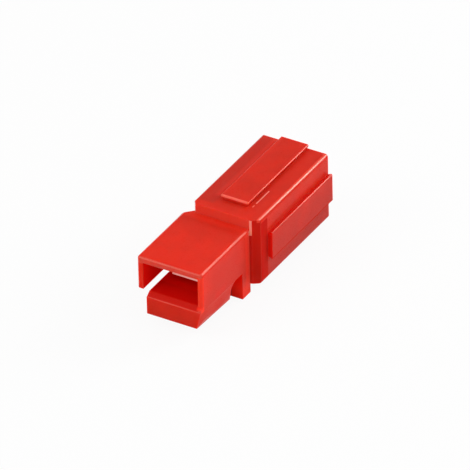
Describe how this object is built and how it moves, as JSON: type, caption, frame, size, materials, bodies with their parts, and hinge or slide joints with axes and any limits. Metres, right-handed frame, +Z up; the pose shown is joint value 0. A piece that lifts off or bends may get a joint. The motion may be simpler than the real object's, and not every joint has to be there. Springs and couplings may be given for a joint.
{
  "type": "genderless power connector",
  "caption": "Red moulded single-pole genderless power connector housing with a hooded mating nose, side dovetails, a rear wire entry and a leaf spring inside.",
  "frame": {"origin": "under the middle of the part, level with the underside of its foot", "axes": "+X right, +Y from the mating nose to the wire entry, +Z up"},
  "size_m": [0.0092, 0.0246, 0.0096],
  "materials": {
    "housing": "red polycarbonate, satin moulded surface with glossy edges",
    "retention_spring": "rolled stainless strip"
  },
  "bodies": {
    "root": {"housing": "housing", "retention_spring": "retention_spring"}
  },
  "joints": []
}
